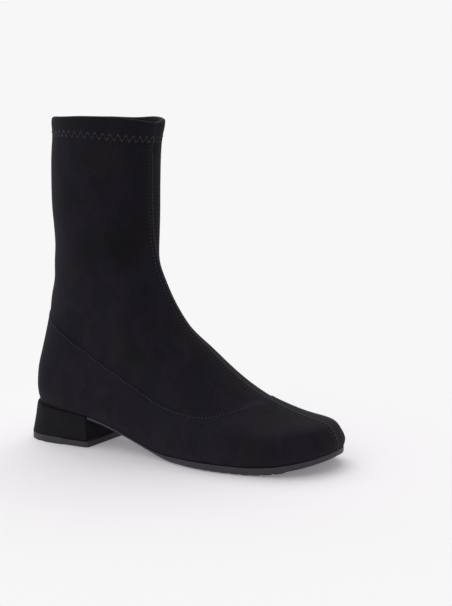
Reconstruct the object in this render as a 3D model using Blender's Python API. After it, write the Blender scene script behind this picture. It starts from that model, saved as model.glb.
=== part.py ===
"""Sock ankle boot, right foot: stretch upper, rubber outsole, covered block heel, top piece and insole.

Metres, +Z up, +X towards the toe along the heel's centre line, +Y towards the inner side of the foot.
The origin is the centre of the heel's ground face. Lengths along the foot are measured from the
back of that face. The boot is lofted from closed rings: a ring is a level line of the upper, long at
the sole and short at the collar, and its row gives the heights and half widths along its own length.
"""
from collections import namedtuple

import bmesh
import bpy
import numpy as np

for old in list(bpy.data.objects):
    bpy.data.objects.remove(old, do_unlink=True)

# Sole and heel
FOOT_LENGTH = 0.2430          # back of the heel's ground face to the toe
BALL_WIDTH = 0.0860           # sole across the ball
HEEL_SEAT_WIDTH = 0.0560      # feather line across the heel
TOE_SWING = 0.0085            # toe's offset towards the inner side
SWING_START = 0.0600          # from here forward the foot's centre line bends inwards
SEAT_BACK_HEIGHT = 0.0290     # heel seat above the floor, at the back
SEAT_BREAST_HEIGHT = 0.0232   # heel seat above the floor, at the breast
HEEL_BASE_LENGTH = 0.0615     # ground face, back to breast
HEEL_BASE_WIDTH = 0.0570
HEEL_BASE_ROUND = 0.0350      # length of its rounded back
HEEL_BASE_SQUARE = 2.7        # roundness of that back: 2 is an ellipse
HEEL_BREAST_FLARE = 0.0010    # how far the breast's foot stands forward of its top
HEEL_LIP_BREAST = 0.0010      # heel cover proud of the feather line, at the breast
HEEL_LIP_BACK = 0.0038        # and at the back
HEEL_EDGE = 0.0004            # rounded edge of the covered block
TOP_PIECE_THICKNESS = 0.0050
BALL_FLAT_BACK = 0.1030       # flat part of the tread, measured back from the toe
BALL_FLAT_FRONT = 0.0490
TOE_SPRING = 0.0085           # tread above the floor at the toe
TOE_SPRING_CURVE = 1.8        # 1 is a straight rise, more is a later one
WAIST_THIN_END = 0.1270       # the rubber is thin behind this place, measured back from the toe
SOLE_THICKNESS_BREAST = 0.0022
SOLE_THICKNESS_WAIST = 0.0016
SOLE_THICKNESS_BALL = 0.0039  # without the lugs, at the back of the flat
SOLE_THICKNESS_TREAD = 0.0047  # at the front of the flat
SOLE_THICKNESS_TOE = 0.0038
SOLE_EDGE_PROUD = 0.0006      # rubber edge beyond the feather line
SOLE_EDGE_CHAMFER = 0.0007
LUG_DEPTH = 0.0010
LUG_LENGTH = 0.0052
LUG_GROOVE = 0.0024
LUG_EDGE_MARGIN = 0.0030
LUG_FIELD_BACK = 0.1110       # first and last bar, measured back from the toe
LUG_FIELD_FRONT = 0.0190
LUG_DRAFT = 0.0003
NARROW_MARGIN = 0.20          # most that the margins take of the width, near the tip
NARROW_CHAMFER = 0.05         # and the chamfer

# Upper
WALL = 0.0016                 # microfibre suede bonded to its knit lining
INSTEP_HEIGHT = 0.0900        # bend of the ankle in front, above the sole line
SHAFT_RISE = 0.2080           # collar above the back of the heel seat
SHAFT_DEPTH = 0.0800          # shaft front to back
SHAFT_WIDTH = 0.0760          # shaft side to side
FOXING_STEP = 0.0005          # edge of the foxing, proud of the quarters
SEAM_RIDGE = 0.0004           # centre front seam, proud of the quarters
SEAM_BAND = 0.0040            # width of that ridge
SEAM_OFFSET = 0.0028          # the seam runs this far to the outer side of the foremost line
HEM_PUFF = 0.0008             # hem between its stitching and the rim
HEM_CINCH = 0.0005            # how deep its stitching pulls in
HEM_FOLD = 0.0014             # turned-in hem inside the collar
PUFF_START = 0.4              # share of the puff just above the stitching
PUFF_END = 0.5                # and at the rim

# Insole
INSOLE_THICKNESS = 0.0025

# Clearances
SEAT_GAP = 0.0003             # between glued faces
STEP_RUN = 0.0004             # width of a step's sloped face

# Mesh
COLUMNS = 30                  # facets on each side of a ring
DENSE = 160                   # points on each side of a ring before it is spaced out
HEEL_POINTS = 34              # points of the heel's outline behind its breast
WAIST_STATIONS = 7            # stations of the sole behind its tread
TIP_STATIONS = 6              # and in front of it

# Levels are counted in rows of the two tables below, 0 at the sole
RINGS_LOW = 3                 # rings to a row up to the foxing seam
RINGS_MIDDLE = 2.5            # from there to the bend of the ankle
RINGS_SHAFT = 5 / 3           # and up the shaft
RINGS_INSIDE = 2              # rings to a row on the inner skin
STEP_LEVEL = 0.03             # a step in the wall takes this much of a row
CINCH_LEVEL = 0.75            # the hem is pulled in from this far below its stitching
PUFF_LEVEL = 0.35             # and puffed from this far above it
PUFF_FULL_LEVEL = 0.75
HEM_EDGE_LEVEL = 0.95         # the turned-in hem reaches this far below the stitching
SLOPE_LEVEL = 0.02            # the skin's slope is read this far up and down

HEEL_BACK = -HEEL_BASE_LENGTH / 2
BREAST = HEEL_BACK + HEEL_BASE_LENGTH - HEEL_BREAST_FLARE
SEAT_SLOPE = (SEAT_BREAST_HEIGHT - SEAT_BACK_HEIGHT) / HEEL_BASE_LENGTH
TOE = HEEL_BACK + FOOT_LENGTH

# Stations along a ring, from its back point (0) to its front point (1). The ball's station has a
# column of its own, because it lies further along a ring that ends short of the toe.
HEEL_AT, WAIST_AT = 0.15, 0.40

Ring = namedtuple("Ring", "back front z_back z_heel z_waist z_ball z_front w_heel w_waist_out w_waist_in "
                          "w_ball_out w_ball_in w_front back_cap front_cap square follow ball_at")

# Rings that end on the toe, vamp or instep. back and front are shares of FOOT_LENGTH, the heights z
# are above the sole line and shares of INSTEP_HEIGHT, w_heel is a share of half HEEL_SEAT_WIDTH and
# the other half widths of half BALL_WIDTH. Caps are shares of the ring's own length, square is the
# roundness of the caps (2 is an ellipse), follow is how far the ring copies the sole line.
FOOT_RINGS = (
    #    back   front  z_back z_heel z_waist z_ball z_front
    #    w_heel w_waist_out/in w_ball_out/in w_front back_cap front_cap square follow ball_at
    Ring(0.030, 1.000, 0.000, 0.000, 0.000, 0.000, 0.000,
         1.000, 0.660, 0.520, 1.020, 0.960, 0.820, 0.130, 0.150, 2.40, 1.0, 0.70),
    Ring(0.024, 1.002, 0.070, 0.078, 0.080, 0.080, 0.050,
         1.080, 0.740, 0.650, 1.055, 1.010, 0.870, 0.135, 0.150, 2.40, 1.0, 0.70),
    Ring(0.021, 0.992, 0.165, 0.145, 0.150, 0.160, 0.128,
         1.110, 0.760, 0.710, 1.030, 1.020, 0.880, 0.140, 0.165, 2.35, 1.0, 0.70),
    Ring(0.024, 0.974, 0.290, 0.235, 0.220, 0.210, 0.205,
         1.110, 0.750, 0.730, 0.970, 1.010, 0.880, 0.145, 0.190, 2.30, 0.8, 0.70),
    Ring(0.042, 0.894, 0.500, 0.400, 0.305, 0.255, 0.305,
         1.100, 0.735, 0.740, 0.890, 0.950, 0.770, 0.165, 0.235, 2.20, 0.5, 0.72),
    Ring(0.065, 0.790, 0.780, 0.648, 0.470, 0.320, 0.430,
         1.100, 0.715, 0.725, 0.770, 0.950, 0.790, 0.200, 0.300, 2.10, 0.2, 0.80),
    Ring(0.067, 0.704, 0.895, 0.715, 0.570, 0.500, 0.565,
         1.110, 0.700, 0.710, 0.690, 0.880, 0.730, 0.240, 0.350, 2.00, 0.0, 0.75),
    Ring(0.077, 0.609, 1.050, 0.890, 0.795, 0.780, 0.775,
         1.140, 0.720, 0.720, 0.690, 0.740, 0.560, 0.300, 0.470, 2.00, 0.0, 0.70),
    Ring(0.083, 0.525, 1.205, 1.110, 1.040, 1.000, 0.985,
         1.180, 0.770, 0.770, 0.740, 0.660, 0.400, 0.380, 0.680, 2.00, 0.0, 0.70),
)
FOXING_ROW = 5                # the foxing seam runs along this ring

# Rings of the shaft. back is a share of FOOT_LENGTH, front is the ring's length as a share of
# SHAFT_DEPTH, heights are above the back of the heel seat and shares of SHAFT_RISE, and half
# widths are shares of half SHAFT_WIDTH.
SHAFT_RINGS = (
    #    back   length z_back z_heel z_waist z_ball z_front, then as above
    Ring(0.089, 1.142, 0.582, 0.553, 0.524, 0.478, 0.423,
         0.900, 0.920, 0.920, 0.890, 0.800, 0.420, 0.460, 0.740, 2.00, 0.0, 0.70),
    Ring(0.088, 1.028, 0.639, 0.620, 0.603, 0.577, 0.543,
         0.930, 0.940, 0.940, 0.930, 0.900, 0.700, 0.500, 0.600, 2.00, 0.0, 0.70),
    Ring(0.083, 1.012, 0.716, 0.711, 0.704, 0.692, 0.678,
         0.960, 0.960, 0.960, 0.960, 0.960, 0.960, 0.500, 0.500, 2.00, 0.0, 0.70),
    Ring(0.086, 1.004, 0.846, 0.846, 0.846, 0.846, 0.846,
         0.990, 0.990, 0.990, 0.990, 0.990, 0.990, 0.500, 0.500, 2.00, 0.0, 0.70),
    Ring(0.091, 1.010, 0.944, 0.946, 0.946, 0.940, 0.926,
         1.000, 1.000, 1.000, 1.000, 1.000, 1.000, 0.500, 0.500, 2.00, 0.0, 0.70),
    Ring(0.094, 1.024, 0.995, 1.000, 0.999, 1.001, 0.989,
         1.000, 1.000, 1.000, 1.000, 1.000, 1.000, 0.500, 0.500, 2.00, 0.0, 0.70),
)
HEM_ROW = len(FOOT_RINGS) + 4  # the hem's stitching runs along this ring
RIM_ROW = len(FOOT_RINGS) + 5


def pchip(xs, ys, x):
    """Monotone cubic through (xs, ys), read at x."""
    xs = np.asarray(xs, float)
    ys = np.asarray(ys, float)
    h = np.diff(xs)
    d = np.diff(ys) / h
    slope = np.zeros(len(xs))
    slope[0], slope[-1] = d[0], d[-1]
    for k in range(1, len(xs) - 1):
        if d[k - 1] * d[k] > 0:
            a, b = 2 * h[k] + h[k - 1], h[k] + 2 * h[k - 1]
            slope[k] = (a + b) / (a / d[k - 1] + b / d[k])
    x = np.clip(x, xs[0], xs[-1])
    k = np.clip(np.searchsorted(xs, x) - 1, 0, len(h) - 1)
    t = (x - xs[k]) / h[k]
    return ((1 + 2 * t) * (1 - t) ** 2 * ys[k] + t * (1 - t) ** 2 * h[k] * slope[k]
            + t * t * (3 - 2 * t) * ys[k + 1] + t * t * (t - 1) * h[k] * slope[k + 1])


def seat_height(x):
    """Heel seat: a plane that falls from the back to the breast."""
    return SEAT_BACK_HEIGHT + SEAT_SLOPE * (x - HEEL_BACK)


def sole_thickness(x):
    """Rubber edge without the lugs, thinnest at the waist and thickest under the toes."""
    places = (BREAST, TOE - WAIST_THIN_END, TOE - BALL_FLAT_BACK, TOE - BALL_FLAT_FRONT, TOE)
    return pchip(places, (SOLE_THICKNESS_BREAST, SOLE_THICKNESS_WAIST, SOLE_THICKNESS_BALL,
                          SOLE_THICKNESS_TREAD, SOLE_THICKNESS_TOE), x)


def tread_height(x):
    """Underside of the lugs: arch, flat ball and toe spring."""
    x = np.asarray(x, float)
    flat_front = TOE - BALL_FLAT_FRONT
    span = TOE - BALL_FLAT_BACK - BREAST
    t = np.clip((x - BREAST) / span, 0, 1)
    start = seat_height(BREAST) - SOLE_THICKNESS_BREAST - LUG_DEPTH
    arch = (1 + 2 * t) * (1 - t) ** 2 * start + t * (1 - t) ** 2 * span * SEAT_SLOPE
    spring = TOE_SPRING * np.maximum((x - flat_front) / BALL_FLAT_FRONT, 0) ** TOE_SPRING_CURVE
    return arch + spring


def sole_line(x):
    """Top of the sole and of the heel seat, where the upper's edge sits."""
    x = np.asarray(x, float)
    return np.where(x < BREAST, seat_height(x), tread_height(x) + LUG_DEPTH + sole_thickness(x))


def spine(x):
    """Centre line of the foot in plan."""
    start = HEEL_BACK + SWING_START
    return TOE_SWING * np.maximum((np.asarray(x, float) - start) / (TOE - start), 0) ** 2


def stations(r):
    """Places along a ring that its heights and widths are given for."""
    return np.array((0, HEEL_AT, WAIST_AT, r.ball_at, 1))


def foot_row(r):
    """A row of FOOT_RINGS in metres."""
    back, front = HEEL_BACK + r.back * FOOT_LENGTH, HEEL_BACK + r.front * FOOT_LENGTH
    at = back + (front - back) * stations(r)
    z = SEAT_GAP + sole_line(at) + INSTEP_HEIGHT * np.array(r[2:7])
    ball = BALL_WIDTH / 2
    widths = [HEEL_SEAT_WIDTH / 2 * r.w_heel] + [ball * w for w in r[8:13]]
    return Ring(back, front, *z, *widths, *r[13:])


def shaft_row(r):
    """A row of SHAFT_RINGS in metres."""
    back = HEEL_BACK + r.back * FOOT_LENGTH
    z = SEAT_BACK_HEIGHT + SHAFT_RISE * np.array(r[2:7])
    widths = [SHAFT_WIDTH / 2 * w for w in r[7:13]]
    return Ring(back, back + r.front * SHAFT_DEPTH, *z, *widths, *r[13:])


ROWS = np.array([foot_row(r) for r in FOOT_RINGS] + [shaft_row(r) for r in SHAFT_RINGS])
ROW_AT = np.arange(len(ROWS))


def row_at(v):
    """The ring row at v, between two rows of the table where v isn't whole."""
    return Ring(*(float(pchip(ROW_AT, ROWS[:, c], v)) for c in range(ROWS.shape[1])))


def cap(t, n):
    """Rounded end: 0 at its tip, 1 from t = 1 on."""
    return (1 - (1 - np.clip(t, 0, 1)) ** n) ** (1 / n)


def dense_ring(v):
    """One closed ring, from the front point over the outer side, the back and the inner side."""
    r = row_at(v)
    s = (1 + np.cos(np.linspace(0, np.pi, DENSE))) / 2
    x = r.back + (r.front - r.back) * s
    known = stations(r)
    above = np.array(r[2:7]) - r.follow * sole_line(r.back + (r.front - r.back) * known)
    z = pchip(known, above, s) + r.follow * sole_line(x)
    ends = cap(s / r.back_cap, r.square) * cap((1 - s) / r.front_cap, r.square)
    out = pchip(known[1:], (r.w_heel, r.w_waist_out, r.w_ball_out, r.w_front), s) * ends
    inner = pchip(known[1:], (r.w_heel, r.w_waist_in, r.w_ball_in, r.w_front), s) * ends
    outer_side = np.stack([x, spine(x) - out, z], 1)
    inner_side = np.stack([x, spine(x) + inner, z], 1)[::-1]
    return np.vstack([outer_side, inner_side[1:-1]])


def ring(v, start=SEAM_OFFSET):
    """Points of a ring at its columns, with the outward direction in plan.

    Columns 0 to COLUMNS run over the outer side to the back. Column 0 lies a start away from the
    foremost point, which puts it on the seam if none is given. The two columns next to it keep
    the width of the seam's ridge, and the others share what is left evenly.
    """
    points = dense_ring(v)
    closed = np.vstack([points, points[:1]])
    run = np.concatenate([[0], np.cumsum(np.linalg.norm(np.diff(closed, axis=0), axis=1))])
    back = run[DENSE - 1]
    near = np.array((0, SEAM_BAND / 2, SEAM_BAND / 2 + STEP_RUN))
    rest = np.linspace(0, 1, COLUMNS - 1)[1:]
    to_back = back - start - near[-1]
    from_back = run[-1] + start - back - near[-1]
    outer = start + np.concatenate([near, near[-1] + to_back * rest])
    inner = run[-1] + start - np.concatenate([near, near[-1] + from_back * rest])
    at = np.concatenate([outer, inner[1:-1][::-1]]) % run[-1]
    tangent = np.roll(points, -1, axis=0) - np.roll(points, 1, axis=0)
    tangent = np.vstack([tangent, tangent[:1]])
    place = np.stack([np.interp(at, run, closed[:, k]) for k in range(3)], 1)
    along = np.stack([np.interp(at, run, tangent[:, k]) for k in range(3)], 1)
    return place, along / np.linalg.norm(along, axis=1)[:, None]


def upper_surface(v):
    """Points and outward normals of the upper's plain outer surface at v."""
    place, along = ring(v)
    low, high = max(v - SLOPE_LEVEL, 0), min(v + SLOPE_LEVEL, RIM_ROW)
    rise = ring(high)[0] - ring(low)[0]
    normal = np.cross(rise, along)
    return place, normal / np.linalg.norm(normal, axis=1)[:, None]


def plan_offset(v, distance, start=SEAM_OFFSET):
    """A ring moved outwards in plan by a distance."""
    place, along = ring(v, start)
    side = np.stack([along[:, 1], -along[:, 0], np.zeros(len(along))], 1)
    side /= np.linalg.norm(side, axis=1)[:, None]
    return place + distance * outward(side, place)


def outward(side, place):
    """Turns plan directions so that they point away from the ring's middle."""
    middle = place.mean(axis=0)
    sign = np.sign(np.sum(side * (place - middle), axis=1))
    return side * np.where(np.median(sign) < 0, -1, 1)


def material(name, colour, roughness):
    made = bpy.data.materials.new(name)
    made.use_nodes = True
    shader = made.node_tree.nodes["Principled BSDF"]
    shader.inputs["Base Color"].default_value = (*colour, 1)
    shader.inputs["Roughness"].default_value = roughness
    shader.inputs["Metallic"].default_value = 0
    return made


def add_object(name, points, faces, made, sharp_angle=0.6):
    """One closed object from points and faces, with its normals turned outwards."""
    mesh = bpy.data.meshes.new(name)
    mesh.from_pydata([tuple(p) for p in points], [], faces)
    bm = bmesh.new()
    bm.from_mesh(mesh)
    bmesh.ops.recalc_face_normals(bm, faces=bm.faces)
    bm.to_mesh(mesh)
    bm.free()
    mesh.materials.append(made)
    mesh.shade_smooth()
    mesh.set_sharp_from_angle(angle=sharp_angle)
    placed = bpy.data.objects.new(name, mesh)
    bpy.context.scene.collection.objects.link(placed)
    return placed


def skin(rings, first=None, last=None):
    """Points and faces of a closed body from stacked rings. None joins the last ring to the first."""
    count = len(rings[0])
    points = np.vstack(rings)
    faces = []
    steps = len(rings) if first is None else len(rings) - 1
    for i in range(steps):
        a, b = i * count, (i + 1) % len(rings) * count
        for k in range(count):
            m = (k + 1) % count
            faces.append((a + k, a + m, b + m, b + k))
    if first is not None:
        faces.extend(first)
        top = (len(rings) - 1) * count
        faces.extend(tuple(top + k for k in face) for face in last)
    return points, faces


def strips(count):
    """Faces that close a ring whose point k lies across from point count - k."""
    faces = [(0, 1, count - 1)]
    half = count // 2
    for k in range(1, half - 1):
        faces.append((k, k + 1, count - k - 1, count - k))
    faces.append((half - 1, half, half + 1))
    return faces


def levels(low, high, per_row):
    """Levels of rings from one level to another, so many to a row of the tables."""
    return list(np.linspace(low, high, round((high - low) * per_row) + 1))


def build_upper(made):
    """Hollow upper: outer skin from the sole to the rim, inner skin back down, joined at both edges."""
    fox, bend, hem = FOXING_ROW, len(FOOT_RINGS), HEM_ROW
    cinch, puff, full = hem - CINCH_LEVEL, hem + PUFF_LEVEL, hem + PUFF_FULL_LEVEL
    outside = (levels(0, fox, RINGS_LOW) + levels(fox + STEP_LEVEL, bend, RINGS_MIDDLE)
               + levels(bend, hem - 1, RINGS_SHAFT)[1:] + [cinch, hem, puff, full, RIM_ROW])
    # Outward relief by level: the foxing up to its seam, then the plain quarters, then the hem
    relief = ((0, 0), (outside[1], FOXING_STEP), (fox, FOXING_STEP), (fox + STEP_LEVEL, 0), (cinch, 0),
              (hem, -HEM_CINCH), (puff, PUFF_START * HEM_PUFF), (full, HEM_PUFF), (RIM_ROW, PUFF_END * HEM_PUFF))
    outer_rings = []
    for v in outside:
        place, normal = upper_surface(v)
        raised = np.full(2 * COLUMNS, np.interp(v, *zip(*relief)))
        raised[[0, 1, -1]] += SEAM_RIDGE if v > 0 else 0
        outer_rings.append(place + normal * raised[:, None])
    # Rounded rim
    place, normal = upper_surface(RIM_ROW)
    rim_top = place - normal * (WALL / 2)
    rim_top[:, 2] += WALL / 2
    inner_rings = []
    hem_edge = hem - HEM_EDGE_LEVEL
    for v in levels(outside[1], hem_edge, RINGS_INSIDE) + [hem_edge + STEP_LEVEL, hem, RIM_ROW]:
        place, normal = upper_surface(v)
        depth = WALL + (HEM_FOLD if v > hem_edge else 0)
        inner_rings.append(place - normal * depth)
    foot = plan_offset(0, -WALL)
    foot[:, 2] = sole_line(foot[:, 0]) + SEAT_GAP
    rings = outer_rings + [rim_top] + inner_rings[::-1] + [foot]
    points, faces = skin(rings)
    return add_object("upper", points, faces, made)


def build_outsole(made):
    """Rubber sole from the heel's breast to the toe, with cross bars of tread under the forefoot."""
    start = BREAST + HEEL_BREAST_FLARE + SEAT_GAP
    bars = int((LUG_FIELD_BACK - LUG_FIELD_FRONT + LUG_GROOVE) / (LUG_LENGTH + LUG_GROOVE))
    cuts = []
    for k in range(bars):
        near = TOE - LUG_FIELD_BACK + k * (LUG_LENGTH + LUG_GROOVE)
        cuts += [(near - LUG_DRAFT, 0), (near, 1), (near + LUG_LENGTH, 1), (near + LUG_LENGTH + LUG_DRAFT, 0)]
    waist = [(x, 0) for x in np.linspace(start, cuts[0][0], WAIST_STATIONS + 1)[:-1]]
    turn = np.linspace(0, 1, TIP_STATIONS + 1)[1:]
    last = cuts[-1][0]
    tip = HEEL_BACK + FOOT_LENGTH * FOOT_RINGS[0].front + SOLE_EDGE_PROUD
    front = [(last + (tip - last) * np.sin(t * np.pi / 2), 0) for t in turn]
    cross_sections = waist + cuts + front
    edge = plan_offset(0, SOLE_EDGE_PROUD, start=0)
    outer_side, inner_side = edge[:COLUMNS + 1][::-1], np.vstack([edge[COLUMNS:], edge[:1]])
    grid = []
    for x, lug in cross_sections[:-1]:
        out = np.interp(x, outer_side[:, 0], outer_side[:, 1])
        inn = np.interp(x, inner_side[:, 0], inner_side[:, 1])
        margin = min(LUG_EDGE_MARGIN, (inn - out) * NARROW_MARGIN)
        chamfer = min(SOLE_EDGE_CHAMFER, (inn - out) * NARROW_CHAMFER)
        top = float(sole_line(x))
        ground = float(tread_height(x))
        low = ground + LUG_DEPTH
        under = ground if lug else low
        y_low = (out + margin, out + margin + LUG_DRAFT, inn - margin - LUG_DRAFT, inn - margin)
        grid.append([(x, out, top), (x, out, low + chamfer), (x, out + chamfer, low),
                     (x, y_low[0], low), (x, y_low[1], under), (x, y_low[2], under), (x, y_low[3], low),
                     (x, inn - chamfer, low), (x, inn, low + chamfer), (x, inn, top)])
    across = len(grid[0])
    points = [p for row in grid for p in row]
    x, y = tip, float(spine(tip))
    top, low = float(sole_line(x)), float(tread_height(x)) + LUG_DEPTH
    points += [(x, y, top), (x, y, low + SOLE_EDGE_CHAMFER), (x - SOLE_EDGE_CHAMFER, y, low)]
    tip_top, tip_side, tip_low = len(points) - 3, len(points) - 2, len(points) - 1
    faces = []
    for i in range(len(grid) - 1):
        a, b = i * across, (i + 1) * across
        for k in range(across):
            m = (k + 1) % across
            faces.append((a + k, b + k, b + m, a + m))
    faces.append(tuple(range(across)))
    e = (len(grid) - 1) * across
    faces.append((e, tip_top, tip_side, e + 1))
    faces.append((e + 1, tip_side, tip_low, e + 2))
    for k in range(2, across - 3):
        faces.append((e + k, tip_low, e + k + 1))
    faces.append((e + across - 3, tip_low, tip_side, e + across - 2))
    faces.append((e + across - 2, tip_side, tip_top, e + across - 1))
    faces.append((e + across - 1, tip_top, e))
    return add_object("outsole", points, faces, made)


def even_curve(curve, count):
    """An open plan curve read at evenly spaced points."""
    run = np.concatenate([[0], np.cumsum(np.linalg.norm(np.diff(curve, axis=0), axis=1))])
    at = np.linspace(0, run[-1], count)
    return np.stack([np.interp(at, run, curve[:, k]) for k in range(2)], 1)


def heel_back_curve(count):
    """Feather line round the heel, from the outer end of the breast to the inner end."""
    feather = ring(0)[0]
    backward = np.clip((BREAST - feather[:, 0]) / HEEL_BASE_LENGTH, 0, 1)[:, None]
    lip = HEEL_LIP_BREAST + (HEEL_LIP_BACK - HEEL_LIP_BREAST) * backward
    place = feather + lip * (plan_offset(0, 1.0) - feather)
    outer_side, inner_side = place[:COLUMNS + 1], place[COLUMNS:]
    behind = place[place[:, 0] < BREAST][:, :2]
    start = (BREAST, np.interp(BREAST, outer_side[::-1, 0], outer_side[::-1, 1]))
    end = (BREAST, np.interp(BREAST, inner_side[:, 0], inner_side[:, 1]))
    return even_curve(np.vstack([start, behind, end]), count)


def heel_base_curve(count):
    """Ground face of the heel: straight sides that close in a rounded back."""
    half = HEEL_BASE_WIDTH / 2
    front = HEEL_BACK + HEEL_BASE_LENGTH
    turn = np.linspace(-np.pi / 2, np.pi / 2, DENSE)
    power = 2 / HEEL_BASE_SQUARE
    x = HEEL_BACK + HEEL_BASE_ROUND * (1 - np.cos(turn) ** power)
    y = half * np.sign(turn) * np.abs(np.sin(turn)) ** power
    return even_curve(np.vstack([(front, -half), np.stack([x, y], 1), (front, half)]), count)


def build_heel(made):
    """Covered block: its top is the heel seat, its sides flare to the ground face."""
    top, base = heel_back_curve(HEEL_POINTS), heel_base_curve(HEEL_POINTS)
    bottom = TOP_PIECE_THICKNESS + SEAT_GAP
    # Level from the ground face (0) to the seat (1), and how far the flare has closed there
    levels = ((0.0, 0.0), (0.12, 0.16), (0.35, 0.44), (0.65, 0.74), (0.92, 0.96), (1.0, 1.0))
    rings = []
    for level, closed in levels:
        plan = base + (top - base) * closed
        if level == 1.0:
            middle = plan.mean(axis=0)
            plan = plan - (plan - middle) / np.linalg.norm(plan - middle, axis=1)[:, None] * HEEL_EDGE
        seat = seat_height(plan[:, 0])
        rings.append(np.column_stack([plan, bottom + (seat - bottom) * level]))
    lid = [tuple(range(HEEL_POINTS))]
    points, faces = skin(rings, first=lid, last=lid)
    return add_object("heel", points, faces, made)


def build_top_piece(made):
    """Rubber top piece with the outline of the heel's ground face."""
    base = heel_base_curve(HEEL_POINTS)
    rings = [np.column_stack([base, np.full(HEEL_POINTS, z)]) for z in (0.0, TOP_PIECE_THICKNESS)]
    lid = [tuple(range(HEEL_POINTS))]
    points, faces = skin(rings, first=lid, last=lid)
    return add_object("heel_top_piece", points, faces, made)


def build_insole(made):
    """Insole inside the upper's edge, on the heel seat and the sole."""
    edge = plan_offset(0, -WALL - SEAT_GAP)
    low = edge.copy()
    low[:, 2] = sole_line(low[:, 0]) + SEAT_GAP
    high = low.copy()
    high[:, 2] += INSOLE_THICKNESS
    lid = strips(2 * COLUMNS)
    points, faces = skin([low, high], first=lid, last=lid)
    return add_object("insole", points, faces, made)


suede = material("black_microfibre_suede", (0.010, 0.009, 0.012), 0.95)
heel_cover = material("heel_cover_suede", (0.011, 0.010, 0.013), 0.93)
sole_rubber = material("dark_grey_sole_rubber", (0.030, 0.030, 0.032), 0.60)
top_rubber = material("dark_grey_top_piece_rubber", (0.034, 0.034, 0.036), 0.62)
sock_lining = material("black_sock_lining", (0.014, 0.014, 0.015), 0.85)

build_upper(suede)
build_outsole(sole_rubber)
build_heel(heel_cover)
build_top_piece(top_rubber)
build_insole(sock_lining)
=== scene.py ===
"""Looks of a stretch sock ankle boot, right foot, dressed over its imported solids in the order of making:
upper, its four seams, insole sock, outsole, heel, top piece, and then the studio that it stands in.
"""
import math

import bmesh
import bpy
import numpy as np
from mathutils import Matrix, Vector
from mathutils.bvhtree import BVHTree
from mathutils.kdtree import KDTree


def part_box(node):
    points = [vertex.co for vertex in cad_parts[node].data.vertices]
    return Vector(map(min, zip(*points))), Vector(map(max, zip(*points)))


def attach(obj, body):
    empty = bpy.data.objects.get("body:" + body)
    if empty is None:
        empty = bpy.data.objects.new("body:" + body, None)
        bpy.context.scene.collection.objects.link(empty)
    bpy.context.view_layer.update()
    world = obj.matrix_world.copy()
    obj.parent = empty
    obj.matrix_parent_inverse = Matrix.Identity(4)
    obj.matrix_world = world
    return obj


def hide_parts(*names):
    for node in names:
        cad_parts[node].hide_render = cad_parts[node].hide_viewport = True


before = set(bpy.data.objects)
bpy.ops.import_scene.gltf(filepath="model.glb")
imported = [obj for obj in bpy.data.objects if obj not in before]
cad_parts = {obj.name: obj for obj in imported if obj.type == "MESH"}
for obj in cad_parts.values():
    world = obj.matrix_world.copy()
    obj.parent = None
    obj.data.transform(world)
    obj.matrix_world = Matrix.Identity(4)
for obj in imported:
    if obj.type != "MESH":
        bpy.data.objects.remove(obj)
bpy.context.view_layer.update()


# Upper: two quarters and a low foxing of black stretch microfibre suede, bonded to a knit lining and
# 1.6 mm thick in all. The quarters close at a raised seam down the front and one at the back, the
# foxing is lapped over them, and the collar is folded in. It is pulled over the last and cemented.

def select_only(piece):
    """Makes a piece the one that Blender's operators work on."""
    bpy.ops.object.select_all(action="DESELECT")
    bpy.context.view_layer.objects.active = piece
    piece.select_set(True)


def start_from(node, name):
    """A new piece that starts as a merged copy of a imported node, in quads where they pair up."""
    piece = bpy.data.objects.new(name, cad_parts[node].data.copy())
    piece.data.materials.clear()
    bpy.context.scene.collection.objects.link(piece)
    select_only(piece)
    bpy.ops.object.mode_set(mode="EDIT")
    bpy.ops.mesh.select_all(action="SELECT")
    bpy.ops.mesh.remove_doubles(threshold=1e-6)
    bpy.ops.mesh.customdata_custom_splitnormals_clear()
    bpy.ops.mesh.tris_convert_to_quads(face_threshold=math.pi, shape_threshold=math.pi,
                                       topology_influence=1.5)
    bpy.ops.object.mode_set(mode="OBJECT")
    return piece


def crease_sharp(piece, angle, crease):
    """Creases the edges whose faces meet at more than an angle, so that they outlive subdivision."""
    shape = bmesh.new()
    shape.from_mesh(piece.data)
    layer = shape.edges.layers.float.new("crease_edge")
    for edge in shape.edges:
        if edge.calc_face_angle(0) > angle:
            edge[layer] = crease
    shape.to_mesh(piece.data)
    shape.free()


def subdivide(piece, levels):
    """Smooths a piece with Subdivision Surface and applies it."""
    bpy.context.view_layer.objects.active = piece
    smooth = piece.modifiers.new("Smooth", "SUBSURF")
    smooth.levels = smooth.render_levels = levels
    bpy.ops.object.modifier_apply(modifier=smooth.name)


STEP_ANGLE = 0.52             # steps in the wall are sharper than this, the lasted shape is not
SEAM_HALF_WIDTH = 0.0034      # raised centre seam, with its sloped sides
SEAM_OFFSET = 0.0028          # it runs this far to the outer side of the middle
FEATHER_TOP = 0.0310          # the feather line stays below this height
FOXING_TOP = 0.1200           # and the foxing's edge below this one
TOE_SWING = 0.0085            # the toe's bend towards the inner side
SWING_BACK, SWING_FRONT = 0.02925, 0.21225
SWING_MOST = 1.2              # the bend goes on a little past its front


def middle_y(x):
    """Centre line of the foot in plan."""
    return TOE_SWING * np.clip((x - SWING_BACK) / (SWING_FRONT - SWING_BACK), 0, SWING_MOST) ** 2


upper = start_from("upper", "suede_upper")
crease_sharp(upper, STEP_ANGLE, 1.0)

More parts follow.
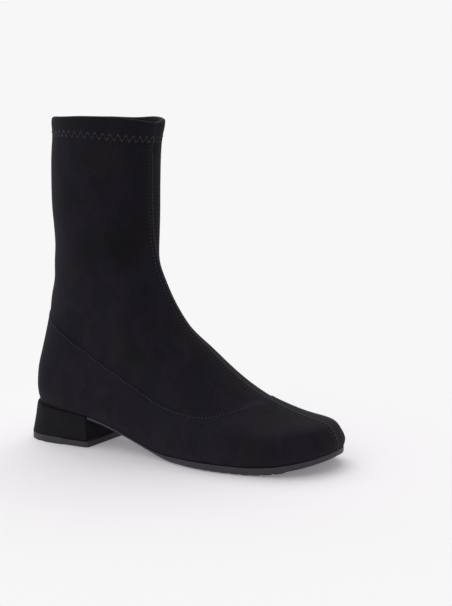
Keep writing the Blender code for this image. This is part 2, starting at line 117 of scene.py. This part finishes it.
# The foxing's edge and the front seam's middle are tagged before the mesh is smoothed, and the
# seam's sides are left soft
shape = bmesh.new()
shape.from_mesh(upper.data)
crease = shape.edges.layers.float["crease_edge"]
foxing_tag = shape.verts.layers.float.new("foxing_edge")
seam_tag = shape.verts.layers.float.new("front_seam")
ridge = set()
for edge in shape.edges:
    a, b = (v.co for v in edge.verts)
    off_seam = max(abs(v.y - middle_y(v.x) + SEAM_OFFSET) for v in (a, b))
    along_seam = off_seam < SEAM_HALF_WIDTH and abs(a.y - b.y) < (a - b).length / 2
    height = (a.z + b.z) / 2
    if edge[crease] and along_seam and a.x > 0:
        if edge.is_convex:
            ridge.update(edge.verts)
        edge[crease] = 0.0
    elif edge[crease] and edge.is_convex and FEATHER_TOP < height < FOXING_TOP:
        for v in edge.verts:
            v[foxing_tag] = 1.0
for v in shape.verts:
    sides = [edge.other_vert(v).co.y - v.co.y for edge in v.link_edges if edge.other_vert(v) in ridge]
    if v not in ridge and sides and min(sides) < 0 < max(sides):
        v[seam_tag] = 1.0
shape.to_mesh(upper.data)
shape.free()
subdivide(upper, 2)


def read(piece, what):
    """A vertex property of a piece as rows of three numbers."""
    values = np.empty(3 * len(piece.data.vertices))
    piece.data.vertices.foreach_get(what, values)
    return values.reshape(-1, 3)


def nearest_on(route, points):
    """Distance of each point to a route of straight pieces, and the nearest place on the route."""
    best = np.full(len(points), np.inf)
    where = np.zeros_like(points)
    for a, b in zip(route[:-1], route[1:]):
        share = np.clip((points - a) @ (b - a) / ((b - a) @ (b - a)), 0, 1)
        place = a + share[:, None] * (b - a)
        distance = np.linalg.norm(points - place, axis=1)
        nearer = distance < best
        best[nearer] = distance[nearer]
        where[nearer] = place[nearer]
    return best, where


# Middle of the leg and foot, which tells the outer skin from the lining
CORE = np.array([(0.033, 0, 0.250), (0.030, 0, 0.120), (0.030, 0, 0.060), (0.090, 0.001, 0.034),
                 (0.150, 0.005, 0.022), (0.196, 0.009, 0.018)])
place = read(upper, "co")
facing = read(upper, "normal")
outer = np.sum((place - nearest_on(CORE, place)[1]) * facing, axis=1) > 0
outward = np.where(outer[:, None], facing, -facing)

# Soft troughs (positive depth) and ridges (negative) that the stretched suede keeps when it stands
# empty: width and depth of each, then its route over the surface
FOLDS = (
    (0.0120, 0.0020, ((0.065, -0.020, 0.145), (0.058, -0.027, 0.147), (0.044, -0.036, 0.150))),
    (0.0100, 0.0018, ((0.102, -0.012, 0.092), (0.092, -0.024, 0.082), (0.076, -0.033, 0.074))),
    (0.0080, -0.0006, ((0.088, -0.010, 0.112), (0.076, -0.025, 0.108), (0.058, -0.035, 0.108))),
    (0.0120, 0.0008, ((0.060, -0.028, 0.192), (0.046, -0.036, 0.184), (0.030, -0.038, 0.182))),
    (0.0110, 0.0010, ((0.072, 0.012, 0.134), (0.062, 0.027, 0.138), (0.040, 0.037, 0.142))),
    (0.0100, 0.0010, ((0.106, 0.012, 0.093), (0.092, 0.026, 0.084), (0.074, 0.033, 0.080))),
    (0.0120, 0.0008, ((0.056, 0.031, 0.186), (0.036, 0.038, 0.178), (0.016, 0.034, 0.174))),
    (0.0034, 0.0008, ((0.068, -0.015, 0.2185), (0.071, -0.006, 0.2168), (0.072, -0.001, 0.2140))),
    (0.0090, 0.0007, ((-0.007, -0.016, 0.122), (-0.009, 0.000, 0.119), (-0.007, 0.016, 0.123))),
)
sunk = np.zeros(len(place))
for width, depth, points in FOLDS:
    distance = nearest_on(np.array(points), place)[0]
    sunk += depth * np.exp(-(distance / width) ** 2)
place -= outward * sunk[:, None]

# Collar: the fold is puffed by the elastic inside and gathered at its zigzag, and the rim flutters
HEM_LINE_X = (-0.0086, 0.0035, 0.0236, 0.0477, 0.0719)
HEM_LINE_Z = (0.2253, 0.2258, 0.2258, 0.2245, 0.2216)
ZIGZAGS = 45                  # zigzags round the collar, 5.5 mm each
GATHER_DEPTH = 0.00035
GATHER_REACH = 0.0052         # how far the gathers run above and below the zigzag
RIM_FLUTTER = 0.00025
RIM_REACH = 0.0080
SEAM_DIP = 0.0028             # the stiff front seam pulls the rim down
SEAM_DIP_WIDTH = 0.0130
SHAFT_MIDDLE = 0.0320


def hem_height(x):
    """Middle of the zigzag, seen from the side."""
    return np.interp(x, HEM_LINE_X, HEM_LINE_Z)


# Slow waves round the shaft make the gathers uneven and the rim flutter
angle = np.arctan2(place[:, 1], place[:, 0] - SHAFT_MIDDLE)
above_hem = place[:, 2] - hem_height(place[:, 0])
uneven = 0.65 + 0.25 * np.sin(5 * angle + 1.0) + 0.10 * np.sin(11 * angle)
gather = GATHER_DEPTH * uneven * (0.5 + 0.5 * np.cos(ZIGZAGS * angle))
gather *= np.exp(-(above_hem / GATHER_REACH) ** 2)
place -= outward * gather[:, None]
to_rim = np.clip(1 - (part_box("upper")[1].z - place[:, 2]) / RIM_REACH, 0, 1)
place[:, 2] += RIM_FLUTTER * to_rim * (np.sin(3 * angle + 0.6) + 0.5 * np.sin(7 * angle))
dip = np.exp(-(place[:, 1] / SEAM_DIP_WIDTH) ** 2) * (place[:, 0] > SHAFT_MIDDLE)
place[:, 2] -= SEAM_DIP * dip * to_rim

upper.data.vertices.foreach_set("co", place.ravel())
upper.data.update()
upper.data.shade_smooth()


# Seams: the front and back seams are held flat by two rows of stitches each, the foxing's lapped edge
# by one, and the collar by a zigzag. Black polyester thread, 0.36 mm, pulled into the nap.

STITCH = 0.0026               # one stitch of a straight row
FOXING_STITCH = 0.0024        # and of the foxing's finer one
FRONT_ROWS = 0.0018           # rows on each side of the front seam
BACK_ROWS = 0.0016
FOXING_ROW = 0.0017           # row below the foxing's edge
BACK_SEAM_END = 0.1000        # height at which the back seam's rows end, near the foxing
FOXING_MIDDLE = 0.0700        # the foxing's points are put in order round this x
ZIGZAG_HEIGHT = 0.0052
COLLAR_HALF = 0.0400          # half the collar's length, seen from the side
WELL_OUTSIDE = 0.0600         # rays to the collar start this far from its middle
RIDGE_HEIGHT = 0.0003         # the allowances inside the front seam round it up
RIDGE_HALF_WIDTH = 0.0026
NEAR_MIDDLE = 0.00035         # picks the one column of points that runs down the back seam
SIDE_SMOOTHING = 6


def even_points(route, gap, closed=False):
    """Points along a route at even gaps."""
    if closed:
        route = np.vstack([route, route[:1]])
    run = np.concatenate([[0], np.cumsum(np.linalg.norm(np.diff(route, axis=0), axis=1))])
    at = np.linspace(0, run[-1], max(round(run[-1] / gap), 2) + 1)
    if closed:
        at = at[:-1]
    return np.stack([np.interp(at, run, route[:, k]) for k in range(3)], 1)


def tagged(name):
    """Points of the outer skin that carry a tag."""
    values = np.empty(len(place))
    upper.data.attributes[name].data.foreach_get("value", values)
    return place[outer & (values > 0.99)]


front = tagged("front_seam")
front = even_points(front[np.argsort(front[:, 0] - front[:, 2])], STITCH)
from_seam = np.clip(nearest_on(front, place)[0] / RIDGE_HALF_WIDTH, 0, 1)
hump = RIDGE_HEIGHT * (0.5 + 0.5 * np.cos(np.pi * from_seam)) * outer
place += outward * hump[:, None]
upper.data.vertices.foreach_set("co", place.ravel())
upper.data.update()
skin = BVHTree.FromObject(upper, bpy.context.evaluated_depsgraph_get())


def beside(route, distance, closed=False):
    """A route moved over the skin by a distance, to its left as it runs, seen from outside."""
    if closed:
        ahead = np.roll(route, -1, axis=0) - np.roll(route, 1, axis=0)
    else:
        ahead = np.gradient(route, axis=0)
    sides = np.array([skin.find_nearest(Vector(point))[1].cross(Vector(way)).normalized()
                      for point, way in zip(route, ahead)])
    # The skin turns sharply at a lapped edge, so the direction is taken from several stitches
    for _ in range(SIDE_SMOOTHING):
        before, after = np.roll(sides, 1, axis=0), np.roll(sides, -1, axis=0)
        if not closed:
            before[0], after[-1] = sides[0], sides[-1]
        sides = (before + sides + after) / 3
    return np.array([skin.find_nearest(Vector(point + distance * side / np.linalg.norm(side)))[0]
                     for point, side in zip(route, sides)])


near_back = (np.abs(place[:, 1]) < NEAR_MIDDLE) & (place[:, 0] < 0)
back = place[outer & near_back & (place[:, 2] > BACK_SEAM_END)]
back = even_points(back[np.argsort(-back[:, 2])], STITCH)
foxing = tagged("foxing_edge")
foxing = foxing[np.argsort(np.arctan2(foxing[:, 1], foxing[:, 0] - FOXING_MIDDLE))]
foxing = even_points(foxing, FOXING_STITCH, closed=True)

straight_rows = {
    "thread_front_seam": [beside(front, FRONT_ROWS), beside(front, -FRONT_ROWS)],
    "thread_back_seam": [beside(back, BACK_ROWS), beside(back, -BACK_ROWS)],
    "thread_foxing_seam": [beside(foxing, -FOXING_ROW, closed=True)],
}

# Zigzag: its corners lie alternately above and below the hem line
corners = []
for k in range(2 * ZIGZAGS + 1):
    turn = math.pi * k / ZIGZAGS
    reach = Vector((math.cos(turn), math.sin(turn), 0))
    x = SHAFT_MIDDLE + COLLAR_HALF * reach.x
    height = hem_height(x) + ZIGZAG_HEIGHT / 2 * (1 if k % 2 else -1)
    start = Vector((SHAFT_MIDDLE, 0, height)) + WELL_OUTSIDE * reach
    corners.append(np.array(skin.ray_cast(start, -reach)[0]))
zigzag_legs = []
for a, b in zip(corners[:-1], corners[1:]):
    zigzag_legs += [(a, (a + b) / 2), ((a + b) / 2, b)]

# One stitch, a grain of thread a unit long with both ends drawn down into the cloth
THREAD = 0.00036
STITCH_CURVE = 1.6            # leaves the ends 0.4 of a thread lower than the middle
bpy.ops.object.select_all(action="DESELECT")
bpy.ops.mesh.primitive_uv_sphere_add(segments=6, ring_count=6, radius=0.5)
stitch = bpy.context.object
bpy.ops.object.mode_set(mode="EDIT")
bpy.ops.transform.rotate(value=math.pi / 2, orient_axis="Y", center_override=(0, 0, 0))
bpy.ops.transform.resize(value=(1, THREAD, THREAD), center_override=(0, 0, 0))
bpy.ops.object.mode_set(mode="OBJECT")
for v in stitch.data.vertices:
    v.co.z -= STITCH_CURVE * THREAD * v.co.x ** 2
stitch.data.shade_smooth()


def sew(name, legs, lift):
    """Lays a copy of the stitch along each leg, on the skin, and joins them into one piece."""
    bpy.ops.object.select_all(action="DESELECT")
    for start, end in legs:
        middle, up, *_ = skin.find_nearest(Vector((start + end) / 2))
        way = Vector(end - start)
        side = up.cross(way).normalized()
        turn = Matrix((side.cross(up), side, up)).transposed().to_4x4()
        size = Matrix.Diagonal((way.length, 1, 1, 1))
        grain = stitch.data.copy()
        grain.transform(Matrix.Translation(middle + up * lift) @ turn @ size)
        laid = bpy.data.objects.new(name, grain)
        bpy.context.scene.collection.objects.link(laid)
        laid.select_set(True)
        bpy.context.view_layer.objects.active = laid
    bpy.ops.object.join()
    sewn = bpy.context.object
    sewn.name = name
    return sewn


STITCH_FILL = 0.52            # share of a stitch that shows, before it dives
THREAD_LIFT = 0.00008
threads = []
for name, rows in straight_rows.items():
    legs = []
    for row in rows:
        ends = np.vstack([row[1:], row[:1]]) if name == "thread_foxing_seam" else row[1:]
        legs += [(a, a + (b - a) * STITCH_FILL) for a, b in zip(row, ends)]
    threads.append(sew(name, legs, THREAD_LIFT))
threads.append(sew("thread_collar_zigzag", zigzag_legs, THREAD_LIFT))
bpy.data.objects.remove(stitch)

# Each point of the skin learns how far it is from its nearest row, where it is along its stitches, how
# strong a painted highlight it gets beside the raised seams, and how deep it lies in a fold, in
# millimetres, for painted shade in the troughs and painted light on the ridges
SEAM_REACH = 0.0040           # points further from a row than this learn nothing of it
# the painted highlight beside the raised seams fades out over this distance
SEAM_HIGHLIGHT_REACH = 0.0032
sites = [(Vector(p), k, name != "thread_foxing_seam")
         for name, rows in straight_rows.items() for row in rows for k, p in enumerate(row)]
needle_holes = KDTree(len(sites))
for k, site in enumerate(sites):
    needle_holes.insert(site[0], k)
needle_holes.balance()
across = np.full(len(place), SEAM_REACH)
phase = np.zeros(len(place))
painted_seam_highlight = np.zeros(len(place))
for k in np.nonzero(outer)[0]:
    point = Vector(place[k])
    site, index, gap = needle_holes.find(point)
    if gap < SEAM_REACH:
        goes_on = index + 1 < len(sites) and (sites[index + 1][0] - site).length < 2 * STITCH
        step = index + 1 if goes_on else index - 1
        way = (sites[step][0] - site) * (1 if step > index else -1)
        along = (point - site).dot(way) / way.length_squared
        across[k] = (point - site - way * along).length
        phase[k] = sites[index][1] + along
        # painted highlight, strongest next to a row of the front or back seam
        painted_seam_highlight[k] = max(1 - gap / SEAM_HIGHLIGHT_REACH, 0) if sites[index][2] else 0
for name, values in (("stitch_across", across), ("stitch_phase", phase), ("painted_seam_highlight", painted_seam_highlight),
                     ("painted_fold_shade", sunk * 1000)):
    layer = upper.data.attributes.new(name, "FLOAT", "POINT")
    layer.data.foreach_set("value", values.astype(np.float32))


# Finishes of the upper. Microfibre suede is brushed, so it is matt, its nap lies in soft patches that
# turn it from black to charcoal, and its fibre tips catch light at grazing angles.

def linear(code):
    """An sRGB hex colour as linear red, green, blue and alpha."""
    channels = [int(code[k:k + 2], 16) / 255 for k in (0, 2, 4)]
    return [c / 12.92 if c <= 0.04045 else ((c + 0.055) / 1.055) ** 2.4 for c in channels] + [1.0]


def add_node(tree, kind, inputs=None, **settings):
    """Adds a node. inputs gives each input, by name or number, a value or another node's output."""
    made = tree.nodes.new("ShaderNode" + kind)
    for name, value in settings.items():
        setattr(made, name, value)
    for socket, value in (inputs or {}).items():
        if isinstance(value, bpy.types.NodeSocket):
            tree.links.new(value, made.inputs[socket])
        else:
            made.inputs[socket].default_value = value
    return made


def start_material(name, **finish):
    """A material with its Principled shader's own sockets set, and object coordinates in metres."""
    made = bpy.data.materials.new(name)
    made.use_nodes = True
    shader = made.node_tree.nodes["Principled BSDF"]
    for socket, value in finish.items():
        shader.inputs[socket.replace("_", " ")].default_value = value
    coords = add_node(made.node_tree, "TexCoord").outputs["Object"]
    return made, made.node_tree, shader, coords


# Input numbers of a Mix node that blends colours
FACTOR, FIRST, SECOND, MIXED = 0, 6, 7, 2

NAP_PATCH = 0.018             # brushed patches of the nap
NAP_MOTTLE = 0.0042           # smaller turns of the nap inside them
NAP_GRAIN = 0.0014            # tufts
FIBRE = 0.00045               # bundles of fibre, which show only in the bump
NAP_LIE = (1.15, 1.15, 0.75)  # the nap lies down the leg, so its patches are longer that way
PATCH_SHARE = 0.36            # share of each in how far the nap is raised
MOTTLE_SHARE = 0.62
GRAIN_SHARE = 0.82
PAINTED_FOLD_SHADE = -0.16            # painted shade: the tone drops by this much with each millimetre of a fold's depth, and rises on a ridge
PAINTED_SEAM_HIGHLIGHT = 0.90               # painted highlight: the tone rises by this much beside a raised seam
FIBRE_SHARE = 0.35            # height of the fibres beside that of the tufts
PULL_REACH = 0.0014           # thread draws the cloth down this far from its row
PULL_DEPTH = 0.0006


def brushed_suede(name, dark, cold, warm, sewn):
    """Black microfibre suede: its closed nap is dark, its raised nap has a cold and a warm cast.

    If sewn, the cloth is drawn down along its stitches, its fold troughs get painted shade and its fold
    ridges painted light, and a painted highlight lies beside its raised seams.
    """
    made, tree, shader, coords = start_material(
        name, Roughness=0.92, Specular_IOR_Level=0.2, Sheen_Weight=0.07, Sheen_Roughness=0.45,
        Sheen_Tint=linear("8c8792"))
    coords = add_node(tree, "Mapping", {"Vector": coords, "Scale": NAP_LIE}).outputs[0]
    # Noise keeps near its middle, so the two ranges spread it from none to all
    cast = add_node(tree, "TexNoise", {"Vector": coords, "Scale": 0.9 / NAP_PATCH, "Detail": 3.5,
                                       "Distortion": 1.0})
    cast = add_node(tree, "MapRange", {0: cast.outputs[0], 1: 0.38, 2: 0.62},
                    interpolation_type="SMOOTHSTEP")
    raised = add_node(tree, "Mix", {FACTOR: cast.outputs[0], FIRST: linear(cold), SECOND: linear(warm)},
                      data_type="RGBA")
    patch = add_node(tree, "TexNoise", {"Vector": coords, "Scale": 1 / NAP_PATCH, "Detail": 2.0,
                                        "Distortion": 0.7})
    mottle = add_node(tree, "TexNoise", {"Vector": coords, "Scale": 1 / NAP_MOTTLE, "Detail": 3.0,
                                         "Distortion": 0.4})
    grain = add_node(tree, "TexNoise", {"Vector": coords, "Scale": 1 / NAP_GRAIN, "Detail": 2.0})
    fibre = add_node(tree, "TexNoise", {"Vector": coords, "Scale": 1 / FIBRE, "Detail": 1.0})
    spread = add_node(tree, "MapRange", {0: patch.outputs[0], 1: 0.36, 2: 0.64},
                      interpolation_type="SMOOTHSTEP")
    tone = add_node(tree, "Math", {0: spread.outputs[0], 1: PATCH_SHARE, 2: -PATCH_SHARE / 2},
                    operation="MULTIPLY_ADD")
    shares = [(mottle.outputs[0], MOTTLE_SHARE), (grain.outputs[0], GRAIN_SHARE)]
    # Painted shade in the folds' troughs, painted light on their ridges and a painted highlight beside the
    # raised seams, all added to the nap's tone
    if sewn:
        shares.append((add_node(tree, "Attribute", attribute_name="painted_fold_shade").outputs["Fac"], PAINTED_FOLD_SHADE))
        shares.append((add_node(tree, "Attribute", attribute_name="painted_seam_highlight").outputs["Fac"], PAINTED_SEAM_HIGHLIGHT))
    for source, share in shares:
        tone = add_node(tree, "Math", {0: source, 1: share, 2: tone.outputs[0]}, operation="MULTIPLY_ADD")
    colour = add_node(tree, "Mix", {FACTOR: tone.outputs[0], FIRST: linear(dark),
                                    SECOND: raised.outputs[MIXED]}, data_type="RGBA")
    tree.links.new(colour.outputs[MIXED], shader.inputs["Base Color"])
    height = add_node(tree, "Math", {0: fibre.outputs[0], 1: FIBRE_SHARE, 2: grain.outputs[0]},
                      operation="MULTIPLY_ADD")
    bump = add_node(tree, "Bump", {"Height": height.outputs[0], "Strength": 0.6, "Distance": 0.00025})
    if sewn:
        # The thread draws the cloth down along each row, most where the needle went in
        beside_row = add_node(tree, "Attribute", attribute_name="stitch_across")
        count = add_node(tree, "Attribute", attribute_name="stitch_phase")
        near = add_node(tree, "MapRange", {0: beside_row.outputs["Fac"], 1: 0.0, 2: PULL_REACH, 3: 1.0,
                                           4: 0.0}, interpolation_type="SMOOTHSTEP")
        turn = add_node(tree, "Math", {0: count.outputs["Fac"], 1: math.tau}, operation="MULTIPLY")
        wave = add_node(tree, "Math", {0: turn.outputs[0]}, operation="COSINE")
        pull = add_node(tree, "Math", {0: wave.outputs[0], 1: 0.3, 2: 0.7}, operation="MULTIPLY_ADD")
        drawn = add_node(tree, "Math", {0: near.outputs[0], 1: pull.outputs[0]}, operation="MULTIPLY")
        bump = add_node(tree, "Bump", {"Height": drawn.outputs[0], "Strength": 1.0, "Distance": PULL_DEPTH,
                                       "Normal": bump.outputs[0]}, invert=True)
    tree.links.new(bump.outputs[0], shader.inputs["Normal"])
    return made


# Tricot lining: a fine warp knit whose wales run up the leg, matt and even
WALE = 0.0012
BAND = 0.314                  # length of a Wave texture's band at scale 1
lining, tree, shader, coords = start_material("tricot_lining", Roughness=0.85, Specular_IOR_Level=0.3)
wales = add_node(tree, "TexWave", {"Vector": coords, "Scale": BAND / WALE, "Distortion": 0.6,
                                   "Detail": 1.0}, bands_direction="Y")
courses = add_node(tree, "TexWave", {"Vector": coords, "Scale": BAND / WALE, "Distortion": 0.4},
                   bands_direction="Z")
knit = add_node(tree, "Math", {0: wales.outputs[1], 1: courses.outputs[1]}, operation="MULTIPLY")
colour = add_node(tree, "Mix", {FACTOR: knit.outputs[0], FIRST: linear("1c1b1d"),
                                SECOND: linear("2e2c30")}, data_type="RGBA")
tree.links.new(colour.outputs[MIXED], shader.inputs["Base Color"])
bump = add_node(tree, "Bump", {"Height": knit.outputs[0], "Strength": 0.7, "Distance": 0.0002})
tree.links.new(bump.outputs[0], shader.inputs["Normal"])

suede = brushed_suede("brushed_microfibre_suede", "0e0d10", "1d1b25", "211b23", sewn=True)
upper.data.materials.append(suede)
upper.data.materials.append(lining)
TURNED_IN = 0.2195            # the folded-in hem reaches down to here inside
for face in upper.data.polygons:
    inside = not all(outer[k] for k in face.vertices)
    face.material_index = int(inside and face.center.z < TURNED_IN)
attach(upper, "root")
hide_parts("upper")

# Thread is smoother than the nap, so each stitch catches some light, and the black thread's grey colour is
# a painted glint on top of that
TWIST = 0.0006                # one turn of the thread's plies
thread, tree, shader, coords = start_material("polyester_thread", Roughness=0.5, Sheen_Weight=0.2,
                                              Sheen_Roughness=0.4)
twist = add_node(tree, "TexNoise", {"Vector": coords, "Scale": 1 / TWIST, "Detail": 1.0})
# painted glint: grey tones on a black thread
colour = add_node(tree, "Mix", {FACTOR: twist.outputs[0], FIRST: linear("333136"),
                                SECOND: linear("514e54")}, data_type="RGBA")
tree.links.new(colour.outputs[MIXED], shader.inputs["Base Color"])
for sewn in threads:
    sewn.data.materials.clear()
    sewn.data.materials.append(thread)
    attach(sewn, "root")


# Insole sock: the same knit laid over a thin board, which lies on the heel seat and the sole inside.
# It shows only through the collar.

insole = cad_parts["insole"]
insole.data.materials.clear()
insole.data.materials.append(lining)


# Outsole: one moulded rubber sole, cemented under the lasted upper from the heel's breast to the toe,
# with cross bars of tread under the forefoot. Its plain edge shows as a thin grey line.

outsole = start_from("outsole", "moulded_outsole")
crease_sharp(outsole, STEP_ANGLE, 1.0)
subdivide(outsole, 2)
select_only(outsole)
bpy.ops.object.shade_smooth_by_angle(angle=0.5)
RUBBER_CLOUD = 0.012          # faint clouds left by the mixing of the rubber


def dull_rubber(name, dark, light, grain_size):
    """Dark grey shoe rubber: satin, faintly clouded, with the fine grain of its mould or knife."""
    made, tree, shader, coords = start_material(name, Roughness=0.55, Specular_IOR_Level=0.4)
    cloud = add_node(tree, "TexNoise", {"Vector": coords, "Scale": 1 / RUBBER_CLOUD, "Detail": 3.0})
    grain = add_node(tree, "TexNoise", {"Vector": coords, "Scale": 1 / grain_size, "Detail": 2.0})
    colour = add_node(tree, "Mix", {FACTOR: cloud.outputs[0], FIRST: linear(dark), SECOND: linear(light)},
                      data_type="RGBA")
    tree.links.new(colour.outputs[MIXED], shader.inputs["Base Color"])
    worn = add_node(tree, "MapRange", {0: grain.outputs[0], 1: 0.3, 2: 0.7, 3: 0.5, 4: 0.66})
    tree.links.new(worn.outputs[0], shader.inputs["Roughness"])
    bump = add_node(tree, "Bump", {"Height": grain.outputs[0], "Strength": 0.4, "Distance": 0.00012})
    tree.links.new(bump.outputs[0], shader.inputs["Normal"])
    return made


outsole.data.materials.append(dull_rubber("moulded_sole_rubber", "2c292f", "3b373f", 0.0009))
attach(outsole, "root")
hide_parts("outsole")


# Heel: a low block that flares to the ground, covered in one piece of thin suede that is glued round
# its back and sides, so its nap is pressed and it looks blacker than the upper.

heel = start_from("heel", "covered_heel")
crease_sharp(heel, STEP_ANGLE, 0.82)      # a crease under 1 leaves the edges a little round
subdivide(heel, 3)
select_only(heel)
bpy.ops.object.shade_smooth_by_angle(angle=0.7)
heel.data.materials.append(brushed_suede("pressed_heel_suede", "0e0d10", "17171e", "1b181d", sewn=False))
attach(heel, "root")
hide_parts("heel")


# Top piece: the rubber lift under the heel, cemented on. It is cut to the block's outline with a
# knife, so its grain is finer than the moulded sole's.

top_piece = start_from("heel_top_piece", "rubber_top_piece")
crease_sharp(top_piece, STEP_ANGLE, 0.9)
subdivide(top_piece, 3)
select_only(top_piece)
bpy.ops.object.shade_smooth_by_angle(angle=0.7)
top_piece.data.materials.append(dull_rubber("cut_top_piece_rubber", "2d2a2f", "38353b", 0.0007))
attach(top_piece, "root")
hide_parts("heel_top_piece")


# Studio: a pale floor that fades into an even white room, three large soft lamps, and the camera at
# the photograph's place.

FLOOR_MIDDLE = (0.09, 0, 0)
FADE_START, FADE_END = 0.12, 0.34     # distances from there over which the paper turns into the room
FLOOR_GLOW = 0.180            # painted light: the paper glows by this much, standing in for light from the white room that reaches under the boot
bpy.ops.object.select_all(action="DESELECT")
bpy.ops.mesh.primitive_circle_add(vertices=96, radius=2.5, fill_type="NGON", location=FLOOR_MIDDLE)
floor = bpy.context.object
floor.name = "studio_floor"
paper = bpy.data.materials.new("pale_paper")
paper.use_nodes = True
tree = paper.node_tree
tree.nodes.clear()
coords = add_node(tree, "TexCoord").outputs["Object"]
away = add_node(tree, "VectorMath", {0: coords}, operation="LENGTH")
fade = add_node(tree, "MapRange", {0: away.outputs["Value"], 1: FADE_START, 2: FADE_END},
                interpolation_type="SMOOTHSTEP")
matt = add_node(tree, "BsdfDiffuse", {"Color": linear("f4f3f4")})
# painted light: the paper's own glow lifts it and the shadows on it
glow = add_node(tree, "Emission", {"Color": linear("fff8ff"), "Strength": FLOOR_GLOW})
lit_paper = add_node(tree, "AddShader", {0: matt.outputs[0], 1: glow.outputs[0]})
clear = add_node(tree, "BsdfTransparent")
mixed = add_node(tree, "MixShader", {0: fade.outputs[0], 1: lit_paper.outputs[0], 2: clear.outputs[0]})
add_node(tree, "OutputMaterial", {"Surface": mixed.outputs[0]})
floor.data.materials.append(paper)

# The camera sees the room in one white. As light it is darker on the right, where the boot's toe and
# the heel's breast face
ROOM_SEEN, ROOM_LIGHT, ROOM_DARK = 0.93, 0.70, 0.28
world = bpy.data.worlds.new("white_room")
bpy.context.scene.world = world
world.use_nodes = True
tree = world.node_tree
tree.nodes.clear()
seen = add_node(tree, "Background", {"Color": linear("ffffff"), "Strength": ROOM_SEEN})
way = add_node(tree, "SeparateXYZ", {0: add_node(tree, "TexCoord").outputs["Generated"]})
strength = add_node(tree, "MapRange", {0: way.outputs[0], 1: -0.2, 2: 0.9, 3: ROOM_LIGHT, 4: ROOM_DARK})
lit = add_node(tree, "Background", {"Color": linear("ffffff"), "Strength": strength.outputs[0]})
path = add_node(tree, "LightPath")
mixed = add_node(tree, "MixShader", {0: path.outputs["Is Camera Ray"], 1: lit.outputs[0],
                                     2: seen.outputs[0]})
add_node(tree, "OutputWorld", {"Surface": mixed.outputs[0]})

AIM = Vector((0.06, 0.0, 0.09))
LAMPS = (
    # name, place, side of the square, watts
    ("key_softbox", (0.15, -1.60, 1.00), 1.3, 3.5),
    ("back_softbox", (-0.50, 0.70, 1.60), 1.6, 11.5),
    ("right_softbox", (1.60, -0.40, 0.70), 0.9, 0.7),
)
for name, spot, side, watts in LAMPS:
    lamp = bpy.data.lights.new(name, "AREA")
    lamp.size = side
    lamp.energy = watts
    stand = bpy.data.objects.new(name, lamp)
    stand.location = spot
    stand.rotation_euler = (AIM - Vector(spot)).to_track_quat("-Z", "Y").to_euler()
    bpy.context.scene.collection.objects.link(stand)

IMAGE_HEIGHT = 606            # pixels
FOCAL = 1312                  # focal length in those pixels, solved from the photograph
HORIZON = 119.9               # row of the horizon
SENSOR = 36.0
CAMERA_AT = (0.5804, -0.7797, 0.2353)
CAMERA_TURN = 30              # degrees from the boot's outer side towards its toe
camera = bpy.data.cameras.new("camera")
camera.sensor_fit = "VERTICAL"
camera.sensor_height = SENSOR
camera.lens = FOCAL * SENSOR / IMAGE_HEIGHT
stand = bpy.data.objects.new("camera", camera)
stand.location = CAMERA_AT
pitch = math.atan((IMAGE_HEIGHT / 2 - HORIZON) / FOCAL)
stand.rotation_euler = (math.pi / 2 - pitch, 0, math.radians(CAMERA_TURN))
bpy.context.scene.collection.objects.link(stand)
bpy.context.scene.camera = stand
bpy.context.scene.view_settings.view_transform = "Standard"
